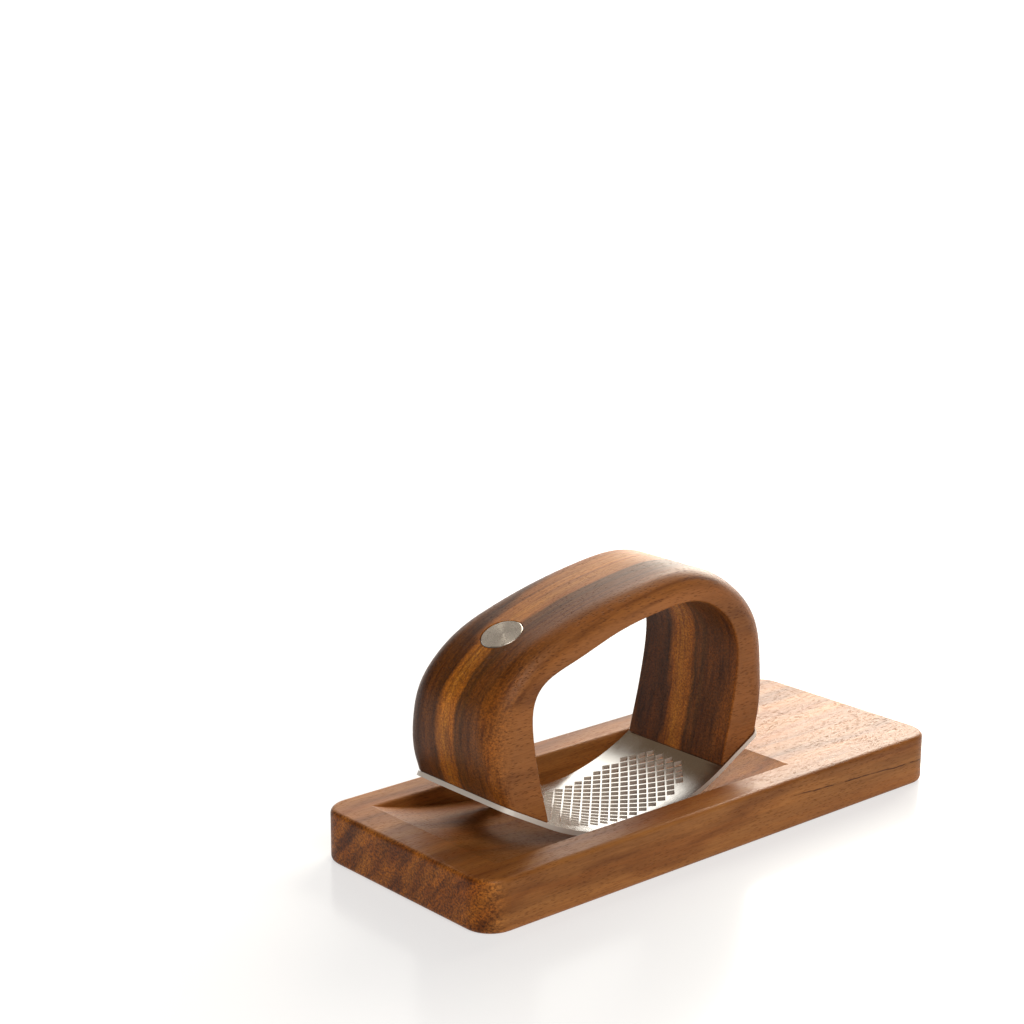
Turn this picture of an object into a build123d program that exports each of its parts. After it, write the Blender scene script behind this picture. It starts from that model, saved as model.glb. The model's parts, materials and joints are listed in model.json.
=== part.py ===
from build123d import *
from math import cos, radians, sin, sqrt
import os

# A rocking garlic press: a wooden arch on a bent, perforated steel plate, and the wooden board
# it rocks on. Millimetres, +Z up. The origin is the middle of the board's underside and +X runs
# along the board. The press stands in the trough with its arch across the X-Z plane.

# ---- driving dimensions ----------------------------------------------------------------------
BOARD_LENGTH = 235.0
BOARD_WIDTH = 95.0
BOARD_HEIGHT = 20.0
BOARD_CORNER = 11.0
BOARD_EDGE = 2.0

TROUGH_X = -29.0
TROUGH_LENGTH = 148.0
TROUGH_WIDTH = 68.0
TROUGH_DEPTH = 10.6
TROUGH_RIM = 1.2

PRESS_X = -26.0
PLATE_RADIUS = 92.0
PLATE_BEND = 28.7
PLATE_REACH = 70.0
PLATE_WIDTH = 52.0
PLATE_THICKNESS = 1.8
PLATE_CORNER = 5.0
ROCKING_GAP = 0.3

HOLE_SIDE = 2.95
HOLE_STEP = 2.54
# Row number from the middle, and how many steps the row reaches to each side.
HOLE_ROWS = {0: 15, 1: 16, 2: 15, 3: 16, 4: 15, 5: 14, 6: 13, 7: 10}

FOOT_LENGTH = 22.9
FOOT_CHAMFER = 0.5
FOOT_ALLOWANCE = 1.0
INNER_EDGE = 0.8

DISC_DIAMETER = 15.8
DISC_THICKNESS = 2.0
DISC_GAP = 0.25
DISC_CHAMFER = 0.3
DISC_X = -44.4
DISC_SINK = 0.2

SCREW_DIAMETER = 3.2
SCREW_CORE = 2.2
SCREW_HEAD = 6.2
SCREW_HEAD_RIM = 0.25
SCREW_LENGTH = 13.0
SCREW_POINT = 3.0
SCREW_PITCH = 1.3
SCREW_DISTANCE = 61.5
SCREW_SPACING = 28.0
SCREW_CLEARANCE = 0.05
RECESS_WIDTH = 0.9
RECESS_SPAN = 3.4
RECESS_DEPTH = 1.1

# ---- worked-out sizes ------------------------------------------------------------------------
trough_radius = ((TROUGH_LENGTH / 2) ** 2 + TROUGH_DEPTH**2) / (2 * TROUGH_DEPTH)
trough_floor = BOARD_HEIGHT - TROUGH_DEPTH
contact_rise = trough_radius - sqrt(trough_radius**2 - (PRESS_X - TROUGH_X) ** 2)
plate_bottom = trough_floor + contact_rise + ROCKING_GAP
rock_height = plate_bottom + PLATE_RADIUS
bend_length = PLATE_RADIUS * radians(PLATE_BEND)
inner_radius = PLATE_RADIUS - PLATE_THICKNESS

os.makedirs("parts", exist_ok=True)


def save(part, name):
    part.label = name
    export_step(part, f"parts/{name}.step")


def plate_plane(distance, y=0.0):
    """Plane on the upper face of the plate, its normal pointing up out of the metal.

    distance is measured along the outer face of the sheet from the lowest line of the plate.
    """
    bend = max(-bend_length, min(bend_length, distance))
    angle = bend / PLATE_RADIUS
    straight = distance - bend
    x = PRESS_X + inner_radius * sin(angle) + straight * cos(angle)
    z = rock_height - inner_radius * cos(angle) + straight * sin(angle)
    along = (cos(angle), 0, sin(angle))
    return Plane(origin=(x, y, z), x_dir=along, z_dir=(-sin(angle), 0, cos(angle)))


def underside_plane(distance, y):
    """Plane on the lower face of the plate, its normal pointing down out of the metal."""
    upper = plate_plane(distance, y)
    origin = upper.origin - upper.z_dir * PLATE_THICKNESS
    return Plane(origin=origin, x_dir=upper.x_dir, z_dir=-upper.z_dir)


screw_hole = SCREW_DIAMETER / 2 + SCREW_CLEARANCE
sink_radius = SCREW_HEAD / 2 + SCREW_HEAD_RIM + SCREW_CLEARANCE
screw_planes = {
    f"{side}_{end}": underside_plane(along * SCREW_DISTANCE, across * SCREW_SPACING / 2)
    for side, along in (("left", -1), ("right", 1))
    for end, across in (("front", -1), ("back", 1))
}


# ---- chopping board --------------------------------------------------------------------------
with BuildPart() as trough:
    with BuildSketch(Plane.XZ) as trough_side:
        with Locations((TROUGH_X, trough_floor + trough_radius)):
            Circle(trough_radius)
    extrude(amount=TROUGH_WIDTH / 2 + TROUGH_RIM, both=True)
    # The cross-section has upright walls that round outwards into the top of the board.
    with BuildSketch(Plane.YZ) as trough_end:
        with BuildLine():
            rim = BOARD_HEIGHT - TROUGH_RIM
            half = TROUGH_WIDTH / 2
            wall = Line((half, 0), (half, rim))
            edge = TangentArc(wall @ 1, (half + TROUGH_RIM, BOARD_HEIGHT), tangent=wall % 1)
            top = Polyline(
                edge @ 1,
                (half + TROUGH_RIM, 2 * BOARD_HEIGHT),
                (-half - TROUGH_RIM, 2 * BOARD_HEIGHT),
                (-half - TROUGH_RIM, BOARD_HEIGHT),
            )
            far_edge = RadiusArc(top @ 1, (-half, rim), TROUGH_RIM)
            Polyline(far_edge @ 1, (-half, 0), wall @ 0)
        make_face()
    extrude(amount=BOARD_LENGTH, both=True, mode=Mode.INTERSECT)

with BuildPart() as chopping_board:
    with BuildSketch():
        RectangleRounded(BOARD_LENGTH, BOARD_WIDTH, BOARD_CORNER)
    extrude(amount=BOARD_HEIGHT)
    flat_faces = chopping_board.faces().filter_by(Axis.Z)
    fillet(flat_faces.edges(), radius=BOARD_EDGE)
    add(trough.part, mode=Mode.SUBTRACT)

save(chopping_board.part, "chopping_board")


# ---- perforated press plate ------------------------------------------------------------------
with BuildPart() as press_plate:
    with BuildSketch(Plane.XZ) as plate_side:
        with BuildLine():
            bottom = CenterArc((PRESS_X, rock_height), PLATE_RADIUS, 270 - PLATE_BEND, 2 * PLATE_BEND)
            straight = PLATE_REACH - bend_length
            right_end = Line(bottom @ 1, (bottom @ 1) + (bottom % 1) * straight)
            left_end = Line(bottom @ 0, (bottom @ 0) - (bottom % 0) * straight)
            right_step = (bottom % 1).rotate(Axis.Z, 90) * PLATE_THICKNESS
            left_step = (bottom % 0).rotate(Axis.Z, 90) * PLATE_THICKNESS
            right_rise = Line(right_end @ 1, (right_end @ 1) + right_step)
            left_rise = Line(left_end @ 1, (left_end @ 1) + left_step)
            inside = CenterArc((PRESS_X, rock_height), inner_radius, 270 - PLATE_BEND, 2 * PLATE_BEND)
            Line(right_rise @ 1, inside @ 1)
            Line(left_rise @ 1, inside @ 0)
        make_face()
    extrude(amount=PLATE_WIDTH / 2, both=True)
    end_faces = press_plate.faces().sort_by(Axis.X)
    corners = (end_faces[0] + end_faces[-1]).edges().filter_by(Axis.Y, reverse=True)
    fillet(corners, radius=PLATE_CORNER)

    holes = [
        plate_plane(column * HOLE_STEP, side * row * HOLE_STEP)
        for row, reach in HOLE_ROWS.items()
        for side in ((1,) if row == 0 else (1, -1))
        for column in range(-reach, reach + 1, 2)
    ]
    with BuildSketch(*holes):
        Rectangle(HOLE_SIDE, HOLE_SIDE, rotation=45)
    extrude(amount=2 * PLATE_THICKNESS, both=True, mode=Mode.SUBTRACT)
    with Locations(*screw_planes.values()):
        CounterSinkHole(screw_hole, sink_radius, depth=2 * PLATE_THICKNESS, counter_sink_angle=90)

save(press_plate.part, "press_plate")


# ---- handle ----------------------------------------------------------------------------------
# Cross-sections of the arch from the left foot over the top to the right foot. Each one lies on
# the line from an inner to an outer point (x from the press's middle, z), and has a half-width
# and the radius of its outer shoulders. The legs start with an allowance below the upper face of
# the plate, which is then cut off so that both feet lie flat on the plate's ends.
foot_ends = [
    plate_plane(side * distance).offset(-FOOT_ALLOWANCE).origin
    for side in (-1, 1)
    for distance in (bend_length, bend_length + FOOT_LENGTH)
]
left_inner, left_outer, right_inner, right_outer = [(end.X - PRESS_X, end.Z) for end in foot_ends]
SECTIONS = [
    (left_inner, left_outer, 25.5, 4.8),
    ((-45.7, 30.5), (-66.2, 39.4), 25.5, 5.8),
    ((-47.8, 39.0), (-68.2, 46.0), 25.4, 7.0),
    ((-50.4, 54.0), (-69.4, 57.2), 25.2, 9.5),
    ((-50.6, 66.5), (-66.3, 69.6), 25.0, 10.5),
    ((-45.5, 74.5), (-54.2, 81.9), 24.8, 9.5),
    ((-30.0, 80.2), (-34.3, 91.0), 24.6, 9.0),
    ((-10.0, 86.4), (-13.0, 96.8), 24.5, 9.0),
    ((12.0, 90.3), (11.0, 100.9), 24.5, 8.5),
    ((30.5, 90.3), (34.2, 101.2), 24.5, 8.5),
    ((43.5, 83.6), (52.0, 93.0), 24.6, 9.0),
    ((51.0, 72.0), (65.9, 77.8), 24.9, 9.5),
    ((51.2, 57.0), (69.3, 59.2), 25.2, 9.0),
    ((47.8, 39.0), (68.0, 46.0), 25.4, 7.0),
    ((45.7, 30.5), (66.1, 39.4), 25.5, 5.8),
    (right_inner, right_outer, 25.5, 4.8),
]


def section_plane(inner, outer):
    """Plane across the arch: local X is the width, local Y runs from the inner to the outer point."""
    middle = ((inner[0] + outer[0]) / 2 + PRESS_X, 0, (inner[1] + outer[1]) / 2)
    return Plane(origin=middle, x_dir=(0, 1, 0), z_dir=(outer[1] - inner[1], 0, inner[0] - outer[0]))


with BuildPart() as handle:
    for inner, outer, half_width, shoulder in SECTIONS:
        thickness = sqrt((outer[0] - inner[0]) ** 2 + (outer[1] - inner[1]) ** 2)
        with BuildSketch(section_plane(inner, outer)) as section:
            outline = Rectangle(2 * half_width, thickness)
            fillet(outline.vertices().group_by(Axis.Y)[-1], radius=shoulder)
            fillet(section.vertices().group_by(Axis.Y)[0], radius=INNER_EDGE)
    loft()
    for end in (-PLATE_REACH, PLATE_REACH):
        split(bisect_by=plate_plane(end), keep=Keep.TOP)
    feet = handle.faces().filter_by(GeomType.PLANE).sort_by(SortBy.AREA)[-2:]
    chamfer(feet.edges(), length=FOOT_CHAMFER)

    # The disc lies in a round seat on the left shoulder, square to the surface there.
    probe = Axis((PRESS_X + DISC_X, 0, 0), (0, 0, 1))
    disc_point, disc_normal = handle.part.find_intersection_points(probe)[-1]
    disc_plane = Plane(origin=disc_point, x_dir=(0, 1, 0), z_dir=disc_normal)
    seat_plane = disc_plane.offset(-DISC_SINK - DISC_THICKNESS)
    with BuildSketch(seat_plane):
        Circle(DISC_DIAMETER / 2 + DISC_GAP)
    extrude(amount=2 * DISC_THICKNESS, mode=Mode.SUBTRACT)
    with Locations(*screw_planes.values()):
        Hole(screw_hole, depth=SCREW_LENGTH + SCREW_CLEARANCE)

save(handle.part, "handle")


# ---- inlaid disc -----------------------------------------------------------------------------
with BuildPart() as inlay_disc:
    with BuildSketch(seat_plane):
        Circle(DISC_DIAMETER / 2)
    extrude(amount=DISC_THICKNESS)
    rim_edge = inlay_disc.faces().sort_by(Axis(seat_plane.origin, seat_plane.z_dir))[-1].edges()
    chamfer(rim_edge, length=DISC_CHAMFER)

save(inlay_disc.part, "inlay_disc")


# ---- plate screws ----------------------------------------------------------------------------
# Drawn with the head's face at Z = 0 and the point towards -Z, so that each one drops straight
# into its countersunk hole.
with BuildPart() as screw:
    with BuildSketch(Plane.XZ):
        with BuildLine():
            neck = -SCREW_HEAD_RIM - (SCREW_HEAD - SCREW_DIAMETER) / 2
            thread_start = neck - SCREW_PITCH / 2
            turns = int((SCREW_LENGTH - SCREW_POINT + thread_start) / SCREW_PITCH)
            crests = [
                (0, 0),
                (SCREW_HEAD / 2, 0),
                (SCREW_HEAD / 2, -SCREW_HEAD_RIM),
                (SCREW_DIAMETER / 2, neck),
            ]
            for turn in range(turns):
                top_z = thread_start - turn * SCREW_PITCH
                crests.append((SCREW_CORE / 2, top_z))
                crests.append((SCREW_DIAMETER / 2, top_z - SCREW_PITCH / 2))
            crests.append((SCREW_CORE / 2, top_z - SCREW_PITCH))
            crests.append((0, -SCREW_LENGTH))
            Polyline(*crests, close=True)
        make_face()
    revolve(axis=Axis.Z)
    with BuildSketch():
        Rectangle(RECESS_SPAN, RECESS_WIDTH)
        Rectangle(RECESS_WIDTH, RECESS_SPAN)
    extrude(amount=-RECESS_DEPTH, mode=Mode.SUBTRACT)

for place, plane in screw_planes.items():
    save(plane.location * screw.part, f"plate_screw_{place}")
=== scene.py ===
import json
import math

import bpy
from mathutils import Matrix, Vector


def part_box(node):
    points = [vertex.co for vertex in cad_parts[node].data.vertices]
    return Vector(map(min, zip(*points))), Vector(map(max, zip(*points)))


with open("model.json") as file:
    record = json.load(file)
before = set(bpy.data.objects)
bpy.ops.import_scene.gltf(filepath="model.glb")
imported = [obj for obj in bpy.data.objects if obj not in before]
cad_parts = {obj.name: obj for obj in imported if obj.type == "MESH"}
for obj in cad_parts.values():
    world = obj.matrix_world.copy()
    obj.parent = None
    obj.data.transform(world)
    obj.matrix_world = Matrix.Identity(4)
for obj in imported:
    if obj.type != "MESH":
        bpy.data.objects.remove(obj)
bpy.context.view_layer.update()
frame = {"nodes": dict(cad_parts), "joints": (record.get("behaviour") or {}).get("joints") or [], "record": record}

# The looks of a rocking garlic press: a striped hardwood arch on a perforated steel plate, in the
# trough of a hardwood board. Metres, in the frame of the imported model. The fibres of both pieces of
# wood run along X, so their ends show pores as dots and their long faces show them as streaks.

MM = 0.001

# ---- camera ----------------------------------------------------------------------------------
CAMERA_PLACE = (-0.55359, -0.562743, 0.316244)
CAMERA_AZIMUTH = -40.932
CAMERA_ELEVATION = 13.968
CAMERA_ROLL = 0.162
CAMERA_LENS = 76.755
CAMERA_SENSOR = 36.0


def look_from(azimuth, elevation, roll):
    """Rotation of a camera that looks from that azimuth and elevation, tilted by roll."""
    a = math.radians(azimuth)
    e = math.radians(elevation)
    right = Vector((math.cos(a), math.sin(a), 0))
    back = Vector((math.sin(a) * math.cos(e), -math.cos(a) * math.cos(e), math.sin(e)))
    turn = Matrix((right, back.cross(right), back)).transposed()
    return turn @ Matrix.Rotation(math.radians(roll), 3, "Z")


def make_camera():
    data = bpy.data.cameras.new("camera")
    data.lens = CAMERA_LENS
    data.sensor_width = CAMERA_SENSOR
    data.dof.use_dof = False
    data.clip_start = 0.01
    camera = bpy.data.objects.new("camera", data)
    turn = look_from(CAMERA_AZIMUTH, CAMERA_ELEVATION, CAMERA_ROLL)
    camera.matrix_world = Matrix.Translation(CAMERA_PLACE) @ turn.to_4x4()
    bpy.context.scene.collection.objects.link(camera)
    bpy.context.scene.camera = camera


# ---- node helpers ----------------------------------------------------------------------------
class Graph:
    """A material's node tree, with short calls for the few kinds of node that are used here."""

    def __init__(self, name):
        self.material = bpy.data.materials.new(name)
        self.material.use_nodes = True
        self.tree = self.material.node_tree
        self.shader = self.tree.nodes["Principled BSDF"]
        coordinates = self.add("ShaderNodeTexCoord")
        self.place = coordinates.outputs["Object"]
        self.normal = coordinates.outputs["Normal"]

    def add(self, kind, **values):
        node = self.tree.nodes.new(kind)
        for key, value in values.items():
            setattr(node, key, value)
        return node

    def feed(self, socket, value):
        if isinstance(value, bpy.types.NodeSocket):
            self.tree.links.new(value, socket)
        else:
            socket.default_value = value

    def math(self, operation, a, b=0.0):
        node = self.add("ShaderNodeMath", operation=operation)
        self.feed(node.inputs[0], a)
        self.feed(node.inputs[1], b)
        return node.outputs[0]

    def stretch(self, scale, vector=None, turn=(0, 0, 0), shift=(0, 0, 0)):
        """The place, moved, turned and scaled."""
        node = self.add("ShaderNodeMapping", vector_type="POINT")
        self.feed(node.inputs["Vector"], vector or self.place)
        node.inputs["Scale"].default_value = scale
        node.inputs["Rotation"].default_value = [math.radians(angle) for angle in turn]
        node.inputs["Location"].default_value = shift
        return node.outputs[0]

    def noise(self, scale, vector=None, detail=3.0, rough=0.55, **mapping):
        node = self.add("ShaderNodeTexNoise")
        self.feed(node.inputs["Vector"], self.stretch(scale, vector, **mapping))
        node.inputs["Scale"].default_value = 1.0
        node.inputs["Detail"].default_value = detail
        node.inputs["Roughness"].default_value = rough
        return node.outputs["Fac"]

    def cells(self, scale, **mapping):
        """Distance to the nearest of many scattered points."""
        node = self.add("ShaderNodeTexVoronoi", feature="F1")
        self.feed(node.inputs["Vector"], self.stretch(scale, **mapping))
        node.inputs["Scale"].default_value = 1.0
        return node.outputs["Distance"]

    def remap(self, value, low, high, to_low=0.0, to_high=1.0):
        node = self.add("ShaderNodeMapRange", interpolation_type="SMOOTHSTEP")
        for socket, number in zip(node.inputs[:5], (value, low, high, to_low, to_high)):
            self.feed(socket, number)
        return node.outputs[0]

    def ramp(self, value, stops):
        node = self.add("ShaderNodeValToRGB")
        self.feed(node.inputs[0], value)
        elements = node.color_ramp.elements
        while len(elements) < len(stops):
            elements.new(0.5)
        for element, (position, colour) in zip(elements, stops):
            element.position = position
            element.color = (*colour, 1)
        return node.outputs[0]

    def mix(self, factor, a, b, blend="MIX"):
        node = self.add("ShaderNodeMix", data_type="RGBA", blend_type=blend)
        self.feed(node.inputs["Factor"], factor)
        for socket, value in ((node.inputs[6], a), (node.inputs[7], b)):
            self.feed(socket, (*value, 1) if isinstance(value, tuple) else value)
        return node.outputs[2]

    def axis(self, vector, name):
        node = self.add("ShaderNodeSeparateXYZ")
        self.feed(node.inputs[0], vector)
        return node.outputs[name]

    def bump(self, height, distance, strength=1.0, below=None):
        node = self.add("ShaderNodeBump")
        self.feed(node.inputs["Height"], height)
        node.inputs["Distance"].default_value = distance
        node.inputs["Strength"].default_value = strength
        if below:
            self.feed(node.inputs["Normal"], below)
        return node.outputs[0]

    def edges(self, radius):
        """How far the surface turns within a radius: 0 on flat faces, more along edges."""
        bevel = self.add("ShaderNodeBevel", samples=4)
        bevel.inputs["Radius"].default_value = radius
        product = self.add("ShaderNodeVectorMath", operation="DOT_PRODUCT")
        self.feed(product.inputs[0], bevel.outputs[0])
        self.feed(product.inputs[1], self.add("ShaderNodeNewGeometry").outputs["Normal"])
        return self.math("SUBTRACT", 1.0, product.outputs["Value"])

    def finish(self, colour, roughness, normal, **constants):
        self.feed(self.shader.inputs["Base Color"], colour)
        self.feed(self.shader.inputs["Roughness"], roughness)
        self.feed(self.shader.inputs["Normal"], normal)
        for name, value in constants.items():
            self.shader.inputs[name.replace("_", " ")].default_value = value
        return self.material


# ---- wood ------------------------------------------------------------------------------------
PORE_TINT = (0.30, 0.22, 0.17)
STREAK_TINT = (0.36, 0.27, 0.21)
FIBRE_TINT = (0.62, 0.52, 0.43)
LIGHT_TINT = (1.45, 1.34, 1.15)
EDGE_TINT = (1.55, 1.42, 1.22)
MOTTLE_LIGHT = (1.55, 1.50, 1.35)
MOTTLE_DARK = (0.55, 0.50, 0.46)
CRACK_TINT = (0.28, 0.22, 0.18)
BOARD_LEAN = -42.0


def wood(name, layer, lean, bands, wander, streaks, pores, mottling, end_tint, gloss, crack=None):
    """Oiled hardwood whose fibres run along X.

    layer gives the growth layers, which lean by that many degrees from upright, and bands are
    (position, colour) over them. wander is how far along the bands they stray. streaks, pores
    and mottling say how strongly those show. The cut ends of the fibres take on end_tint, and
    crack gives how far the surface lies in a drying crack.
    """
    g = Graph(name)
    leaned = g.stretch((1, 1, 1), turn=(lean, 0, 0))
    slow = g.noise((9, 26, 26), detail=2.0)
    ragged = g.noise((24, 110, 110), detail=4.0)
    strayed = g.math("ADD", layer(g), g.math("MULTIPLY", g.math("SUBTRACT", slow, 0.5), wander))
    torn = g.math("MULTIPLY", g.math("SUBTRACT", ragged, 0.5), wander * 0.4)
    colour = g.ramp(g.math("ADD", strayed, torn), bands)

    # Growth lines, fibres, and broad lighter flecks.
    lines = g.noise((11, 560, 60), leaned, detail=4.0, rough=0.62)
    fibres = g.noise((110, 2600, 2600), detail=3.0, rough=0.65)
    flecks = g.noise((10, 230, 50), leaned, detail=4.0, rough=0.6)
    colour = g.mix(g.remap(lines, 0.46, 0.70, 0.0, streaks), colour, STREAK_TINT, "MULTIPLY")
    colour = g.mix(g.remap(fibres, 0.35, 0.7, 0.0, 0.45), colour, FIBRE_TINT, "MULTIPLY")
    colour = g.mix(g.remap(flecks, 0.40, 0.72, 0.0, 0.60), colour, LIGHT_TINT, "MULTIPLY")

    # Vessels: fine open pores, long along the fibres and round where the fibres end.
    vessel = g.cells((320, 1700, 1700))
    patch = g.noise((30, 120, 120), detail=1.0)
    depth = g.math("MULTIPLY", g.remap(vessel, 0.42, 0.16), g.remap(patch, 0.36, 0.6, 0.45, 1.0))
    colour = g.mix(g.math("MULTIPLY", depth, pores), colour, PORE_TINT, "MULTIPLY")

    # Cut ends of the fibres: darker, mottled, and blotched along the growth layers.
    along = g.math("ABSOLUTE", g.axis(g.normal, "X"))
    cut = g.remap(along, 0.10, 0.60, 0.0, mottling)
    end = g.remap(along, 0.30, 0.95)
    mottle = g.noise((420, 1350, 1350), detail=2.0)
    blotch = g.noise((4, 85, 20), leaned, detail=3.0)
    light_spots = g.math("MULTIPLY", g.remap(mottle, 0.48, 0.64), cut)
    dark_spots = g.math("MULTIPLY", g.remap(mottle, 0.50, 0.36), cut)
    rings = g.math("MULTIPLY", g.remap(blotch, 0.45, 0.55), g.math("MULTIPLY", end, mottling))
    colour = g.mix(end, colour, end_tint, "MULTIPLY")
    colour = g.mix(light_spots, colour, MOTTLE_LIGHT, "MULTIPLY")
    colour = g.mix(dark_spots, colour, MOTTLE_DARK, "MULTIPLY")
    colour = g.mix(rings, colour, MOTTLE_DARK, "MULTIPLY")
    if crack:
        colour = g.mix(crack(g), colour, CRACK_TINT, "MULTIPLY")
    colour = g.mix(g.remap(g.edges(1.0 * MM), 0.01, 0.14, 0.0, 0.35), colour, EDGE_TINT, "MULTIPLY")

    rough = g.math("ADD", g.remap(fibres, 0.3, 0.7, 0.36, 0.48), g.math("MULTIPLY", depth, 0.25))
    grain = g.math("SUBTRACT", g.math("MULTIPLY", fibres, 0.5), depth)
    normal = g.bump(lines, 0.05 * MM, 0.5, g.bump(grain, 0.06 * MM, 0.8))
    return g.finish(colour, rough, normal, Specular_IOR_Level=gloss)


# Heartwood colours, palest first.
GOLD = (0.42, 0.17, 0.03)
AMBER = (0.33, 0.12, 0.02)
RUST = (0.27, 0.10, 0.025)
CHESTNUT = (0.20, 0.07, 0.015)
UMBER = (0.15, 0.055, 0.015)
COFFEE = (0.13, 0.045, 0.01)
SMOKE = (0.10, 0.04, 0.01)
EBONY = (0.085, 0.03, 0.008)

# From the near side of the handle, y lowest, to its far side.
HANDLE_BANDS = (
    (0.00, RUST),
    (0.12, CHESTNUT),
    (0.24, UMBER),
    (0.34, COFFEE),
    (0.38, SMOKE),
    (0.41, UMBER),
    (0.44, SMOKE),
    (0.47, AMBER),
    (0.55, GOLD),
    (0.61, AMBER),
    (0.65, EBONY),
    (0.74, COFFEE),
    (0.82, EBONY),
    (0.91, COFFEE),
    (1.00, EBONY),
)
HANDLE_END_TINT = (1.0, 0.90, 0.52)


def handle_layer(g):
    """0 at the near side of the handle and 1 at its far side.

    The layers thicken towards +X, and those of the far half also thicken towards the crest.
    """
    low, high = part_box("handle")
    across = g.math("DIVIDE", g.axis(g.place, "Y"), high.y - low.y)
    across = g.math("MULTIPLY", across, g.remap(g.axis(g.place, "X"), -20 * MM, 30 * MM, 1.0, 0.78))
    crest = g.remap(g.axis(g.place, "Z"), 75 * MM, 104 * MM, 1.0, 0.35)
    far_half = g.math("MULTIPLY", g.math("MAXIMUM", across, 0.0), crest)
    return g.math("ADD", g.math("ADD", g.math("MINIMUM", across, 0.0), far_half), 0.5)


# The board's wood is plainer, with pale and dark layers taking turns.
HONEY = (0.34, 0.14, 0.035)
CINNAMON = (0.30, 0.12, 0.03)
RUSSET = (0.24, 0.085, 0.02)
CLAY = (0.19, 0.065, 0.013)

BOARD_BANDS = (
    (0.00, RUSSET),
    (0.12, CINNAMON),
    (0.22, CLAY),
    (0.30, CINNAMON),
    (0.46, RUST),
    (0.54, HONEY),
    (0.66, RUSSET),
    (0.76, HONEY),
    (0.88, CLAY),
    (1.00, CINNAMON),
)
BOARD_END_TINT = (0.84, 0.68, 0.26)


def board_layer(g):
    """Layers that lean across the board's section and come back every 100 mm or so."""
    leaned = g.axis(g.stretch((1, 1, 1), turn=(BOARD_LEAN, 0, 0)), "Y")
    return g.math("PINGPONG", g.math("ADD", g.math("MULTIPLY", leaned, 20.0), 4.3), 1.0)


def board_crack(g):
    """A fine broken crack that runs slightly downhill along the near side's right half."""
    fall = g.math("MULTIPLY", g.axis(g.place, "X"), 0.05)
    level = g.math("ADD", g.math("ADD", g.axis(g.place, "Z"), fall), -15 * MM)
    waver = g.math("MULTIPLY", g.math("SUBTRACT", g.noise((60, 1, 1)), 0.5), 2 * MM)
    line = g.remap(g.math("ABSOLUTE", g.math("ADD", level, waver)), 0.40 * MM, 0.12 * MM)
    near_side = g.remap(g.axis(g.place, "Y"), -45 * MM, -47 * MM)
    right_half = g.remap(g.axis(g.place, "X"), 30 * MM, 45 * MM)
    broken = g.remap(g.noise((90, 1, 1), shift=(5, 0, 0)), 0.40, 0.52, 0.25, 1.0)
    return g.math("MULTIPLY", g.math("MULTIPLY", line, broken), g.math("MULTIPLY", near_side, right_half))


# ---- steel -----------------------------------------------------------------------------------
def away_from_bend(g):
    """How squarely the surface faces the axis of the plate's bend: 1 on its faces, 0 on its edges."""
    centre = frame["joints"][0]["pos_m"]
    flatten = g.add("ShaderNodeVectorMath", operation="MULTIPLY_ADD")
    g.feed(flatten.inputs[0], g.place)
    flatten.inputs[1].default_value = (1, 0, 1)
    flatten.inputs[2].default_value = (-centre[0], 0, -centre[2])
    spoke = g.add("ShaderNodeVectorMath", operation="NORMALIZE")
    g.feed(spoke.inputs[0], flatten.outputs[0])
    product = g.add("ShaderNodeVectorMath", operation="DOT_PRODUCT")
    g.feed(product.inputs[0], spoke.outputs[0])
    g.feed(product.inputs[1], g.normal)
    return g.math("ABSOLUTE", product.outputs["Value"])


SHEET_DULL = (0.66, 0.645, 0.62)
SHEET_BRIGHT = (0.76, 0.75, 0.73)
SHEET_MARK = (0.85, 0.84, 0.82)
PUNCHED_WALL_DULL_AND_PAINTED_SHADE = (0.66, 0.61, 0.55)
SCREW_DULL = (0.42, 0.41, 0.40)
SCREW_BRIGHT = (0.62, 0.61, 0.60)
GROOVE_DULL = (0.30, 0.27, 0.235)
GROOVE_BRIGHT = (0.50, 0.45, 0.39)


def plate_steel():
    """Satin sheet with faint handling marks. The punched walls and edges are duller, and their beige colour is
    partly painted shade inside the holes.
    """
    g = Graph("plate_steel_finish")
    brush = g.noise((60, 2600, 700), detail=2.0)
    cloud = g.noise((38, 60, 60), detail=4.0)
    scratch = g.cells((16, 700, 300), turn=(0, 0, 23))
    marks = g.remap(scratch, 0.05, 0.0)
    face = g.remap(away_from_bend(g), 0.45, 0.80)
    colour = g.ramp(cloud, ((0.3, SHEET_DULL), (0.7, SHEET_BRIGHT)))
    colour = g.mix(g.math("MULTIPLY", marks, 0.25), colour, SHEET_MARK)
    # Walls and edges take a beige colour: duller sheared steel, and partly painted shade where the insides of the
    # holes reflect dark surroundings.
    colour = g.mix(face, PUNCHED_WALL_DULL_AND_PAINTED_SHADE, colour)
    g.feed(g.shader.inputs["Metallic"], g.math("ADD", g.math("MULTIPLY", face, 0.6), 0.4))
    satin = g.math("ADD", g.remap(brush, 0.3, 0.7, 0.10, 0.15), g.remap(cloud, 0.3, 0.7, 0.0, 0.05))
    rough = g.math("ADD", satin, g.math("MULTIPLY", g.math("SUBTRACT", 1.0, face), 0.35))
    normal = g.bump(marks, 0.01 * MM, 0.3, g.bump(brush, 0.002 * MM, 0.5))
    return g.finish(colour, rough, normal)


def screw_steel():
    g = Graph("screw_steel_finish")
    cloud = g.noise((300, 300, 300), detail=4.0)
    fine = g.noise((1800, 1800, 1800), detail=2.0)
    colour = g.ramp(cloud, ((0.3, SCREW_DULL), (0.7, SCREW_BRIGHT)))
    rough = g.remap(fine, 0.3, 0.7, 0.28, 0.45)
    return g.finish(colour, rough, g.bump(fine, 0.01 * MM, 0.5), Metallic=1.0)


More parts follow.
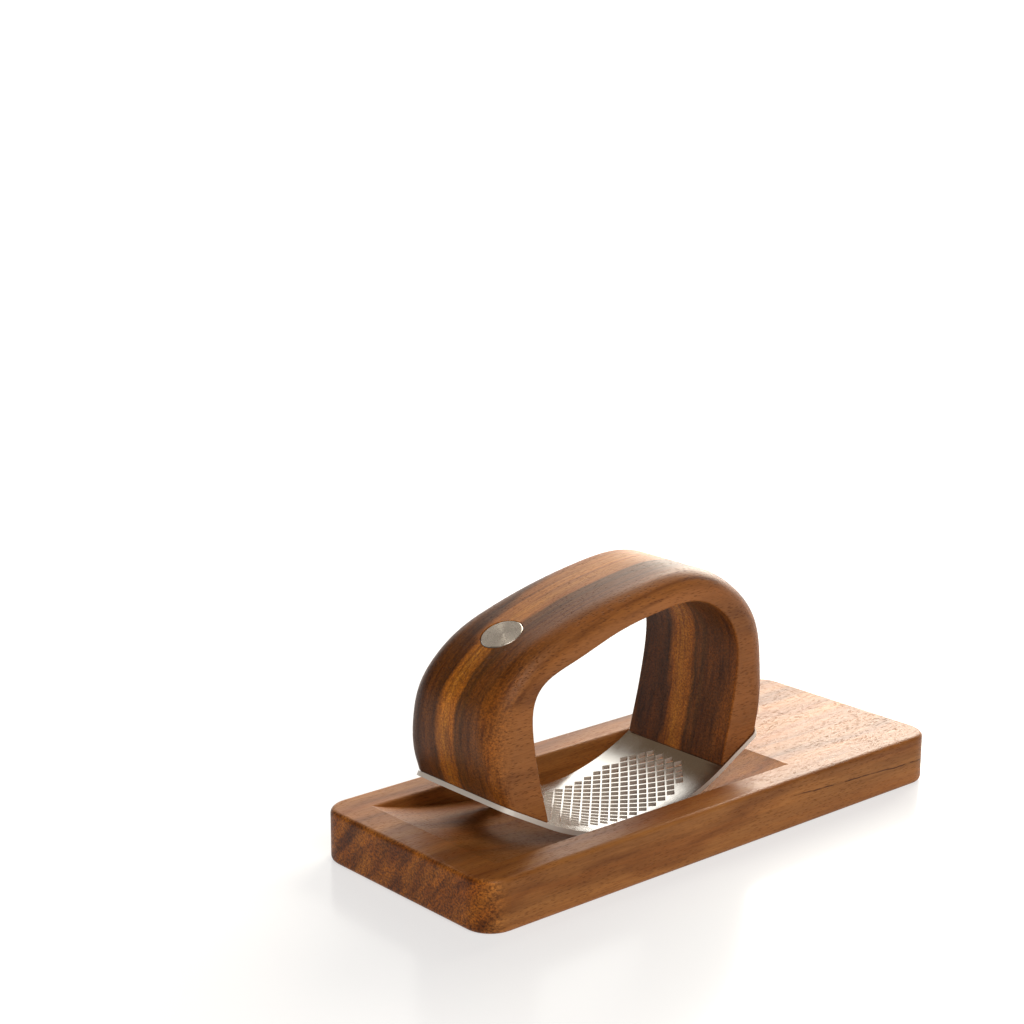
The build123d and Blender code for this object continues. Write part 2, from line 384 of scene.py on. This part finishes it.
def disc_steel():
    """Face turned on a lathe: rings of fine grooves round the disc's own axis."""
    low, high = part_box("inlay_disc")
    g = Graph("disc_steel_finish")
    centred = g.add("ShaderNodeVectorMath", operation="SUBTRACT")
    g.feed(centred.inputs[0], g.place)
    centred.inputs[1].default_value = (low + high) / 2
    radius = g.add("ShaderNodeVectorMath", operation="LENGTH")
    g.feed(radius.inputs[0], centred.outputs[0])
    rings = g.add("ShaderNodeTexNoise", noise_dimensions="1D")
    g.feed(rings.inputs["W"], radius.outputs["Value"])
    rings.inputs["Scale"].default_value = 4200
    rings.inputs["Detail"].default_value = 2.0
    groove = rings.outputs["Fac"]
    cloud = g.noise((500, 500, 500), detail=3.0)
    colour = g.ramp(groove, ((0.3, GROOVE_DULL), (0.7, GROOVE_BRIGHT)))
    rough = g.remap(cloud, 0.3, 0.7, 0.24, 0.34)
    tangent = g.add("ShaderNodeTangent", direction_type="RADIAL", axis="Z")
    g.feed(g.shader.inputs["Tangent"], tangent.outputs[0])
    normal = g.bump(groove, 0.015 * MM, 0.5)
    return g.finish(colour, rough, normal, Metallic=1.0, Anisotropic=0.85)


# ---- floor and light -------------------------------------------------------------------------
FLOOR_SIZE = 120.0
FLOOR_DARK = (0.29, 0.29, 0.29)
FLOOR_LIGHT = (0.31, 0.31, 0.31)
# Painted shade on the floor: its painted glow is dimmest out to the first distance from the object's origin and
# full beyond the second, in metres.
PAINTED_SHADE_FADE_START = 0.10
PAINTED_SHADE_FADE_END = 0.60
FLOOR_GLOW_AND_PAINTED_SHADE = (0.62, 0.97)


def make_floor():
    """A mid-grey floor with a painted glow so that it looks white, and painted shade: it glows less near the
    object than further out, a painted shadow round the object.
    """
    bpy.ops.mesh.primitive_plane_add(size=FLOOR_SIZE, location=(0, 0, 0))
    floor = bpy.context.object
    floor.name = "floor"
    g = Graph("floor_glow_and_painted_shade")
    cloud = g.noise((3, 3, 3), detail=2.0)
    colour = g.ramp(cloud, ((0.3, FLOOR_DARK), (0.7, FLOOR_LIGHT)))
    rough = g.remap(cloud, 0.3, 0.7, 0.16, 0.20)
    normal = g.bump(cloud, 0.001 * MM)
    away = g.add("ShaderNodeVectorMath", operation="LENGTH")
    g.feed(away.inputs[0], g.place)
    # Painted glow and painted shade: the glow rises with distance from the object, so the floor is darker round
    # it.
    glow_and_painted_shade = g.remap(away.outputs["Value"], PAINTED_SHADE_FADE_START, PAINTED_SHADE_FADE_END, *FLOOR_GLOW_AND_PAINTED_SHADE)
    g.feed(g.shader.inputs["Emission Strength"], glow_and_painted_shade)
    finish = g.finish(colour, rough, normal, IOR=1.18, Emission_Color=(1, 1, 1, 1))
    floor.data.materials.append(finish)


def softbox(name, place, target, size, power, tint):
    """A soft square light that the camera doesn't see."""
    data = bpy.data.lights.new(name, "AREA")
    data.shape = "RECTANGLE"
    data.size, data.size_y = size
    data.energy = power
    data.color = tint
    light = bpy.data.objects.new(name, data)
    light.location = place
    light.visible_camera = False
    direction = Vector(target) - Vector(place)
    light.rotation_euler = direction.to_track_quat("-Z", "Y").to_euler()
    bpy.context.scene.collection.objects.link(light)


BRIGHT_SIDE = (0.75, 0.62, 0.22)
PATCH_FADE = (0.73, 0.83)
PATCH_LIGHT = (2.00, 1.92, 1.78)
SWEEP_FADE = (0.30, 0.12)
SWEEP_LIGHT = (1.0, 1.0, 1.0)
CEILING_LIGHT = (0.140, 0.095, 0.060)
LIT_POINT = (-0.02, 0, 0.04)
KEY_PLACE = (0.66, 0.30, 0.45)
KEY_TINT = (1.0, 0.95, 0.83)
FILL_PLACE = (-0.35, -0.95, 0.95)
FILL_TINT = (1.0, 0.975, 0.94)


def make_world():
    """A white sweep round the horizon, a large bright patch behind the object, and a dim ceiling."""
    world = bpy.data.worlds.new("studio")
    world.use_nodes = True
    background = world.node_tree.nodes["Background"]
    links = world.node_tree.links
    direction = world.node_tree.nodes.new("ShaderNodeTexCoord")
    behind = world.node_tree.nodes.new("ShaderNodeVectorMath")
    behind.operation = "DOT_PRODUCT"
    behind.inputs[1].default_value = BRIGHT_SIDE
    links.new(direction.outputs["Generated"], behind.inputs[0])
    height = world.node_tree.nodes.new("ShaderNodeSeparateXYZ")
    links.new(direction.outputs["Generated"], height.inputs[0])
    shares = []
    for source, limits in ((behind.outputs["Value"], PATCH_FADE), (height.outputs["Z"], SWEEP_FADE)):
        share = world.node_tree.nodes.new("ShaderNodeMapRange")
        links.new(source, share.inputs[0])
        for socket, number in zip(share.inputs[1:3], limits):
            socket.default_value = number
        shares.append(share.outputs[0])
    light = CEILING_LIGHT
    for share, colour in zip(reversed(shares), (SWEEP_LIGHT, PATCH_LIGHT)):
        blend = world.node_tree.nodes.new("ShaderNodeMix")
        blend.data_type = "RGBA"
        links.new(share, blend.inputs["Factor"])
        if isinstance(light, tuple):
            blend.inputs[6].default_value = (*light, 1)
        else:
            links.new(light, blend.inputs[6])
        blend.inputs[7].default_value = (*colour, 1)
        light = blend.outputs[2]
    links.new(light, background.inputs["Color"])
    bpy.context.scene.world = world


make_camera()
make_floor()
make_world()
softbox("key", KEY_PLACE, LIT_POINT, size=(0.5, 0.5), power=11, tint=KEY_TINT)
softbox("fill", FILL_PLACE, LIT_POINT, size=(0.7, 0.7), power=10, tint=FILL_TINT)

finishes = {
    "board_wood": wood(
        "board_wood_finish", board_layer, lean=BOARD_LEAN, bands=BOARD_BANDS,
        wander=0.60, streaks=0.30, pores=0.40, mottling=1.0,
        end_tint=BOARD_END_TINT, gloss=0.14, crack=board_crack,
    ),
    "handle_wood": wood(
        "handle_wood_finish", handle_layer, lean=0.0, bands=HANDLE_BANDS,
        wander=0.16, streaks=0.70, pores=0.60, mottling=0.6,
        end_tint=HANDLE_END_TINT, gloss=0.16,
    ),
    "plate_steel": plate_steel(),
    "disc_steel": disc_steel(),
    "screw_steel": screw_steel(),
}
for part in frame["record"]["subparts"]:
    node = frame["nodes"][part["node"]]
    for slot in node.material_slots:
        slot.material = finishes[part["material_slot"]]

bpy.context.scene.view_settings.view_transform = "Standard"
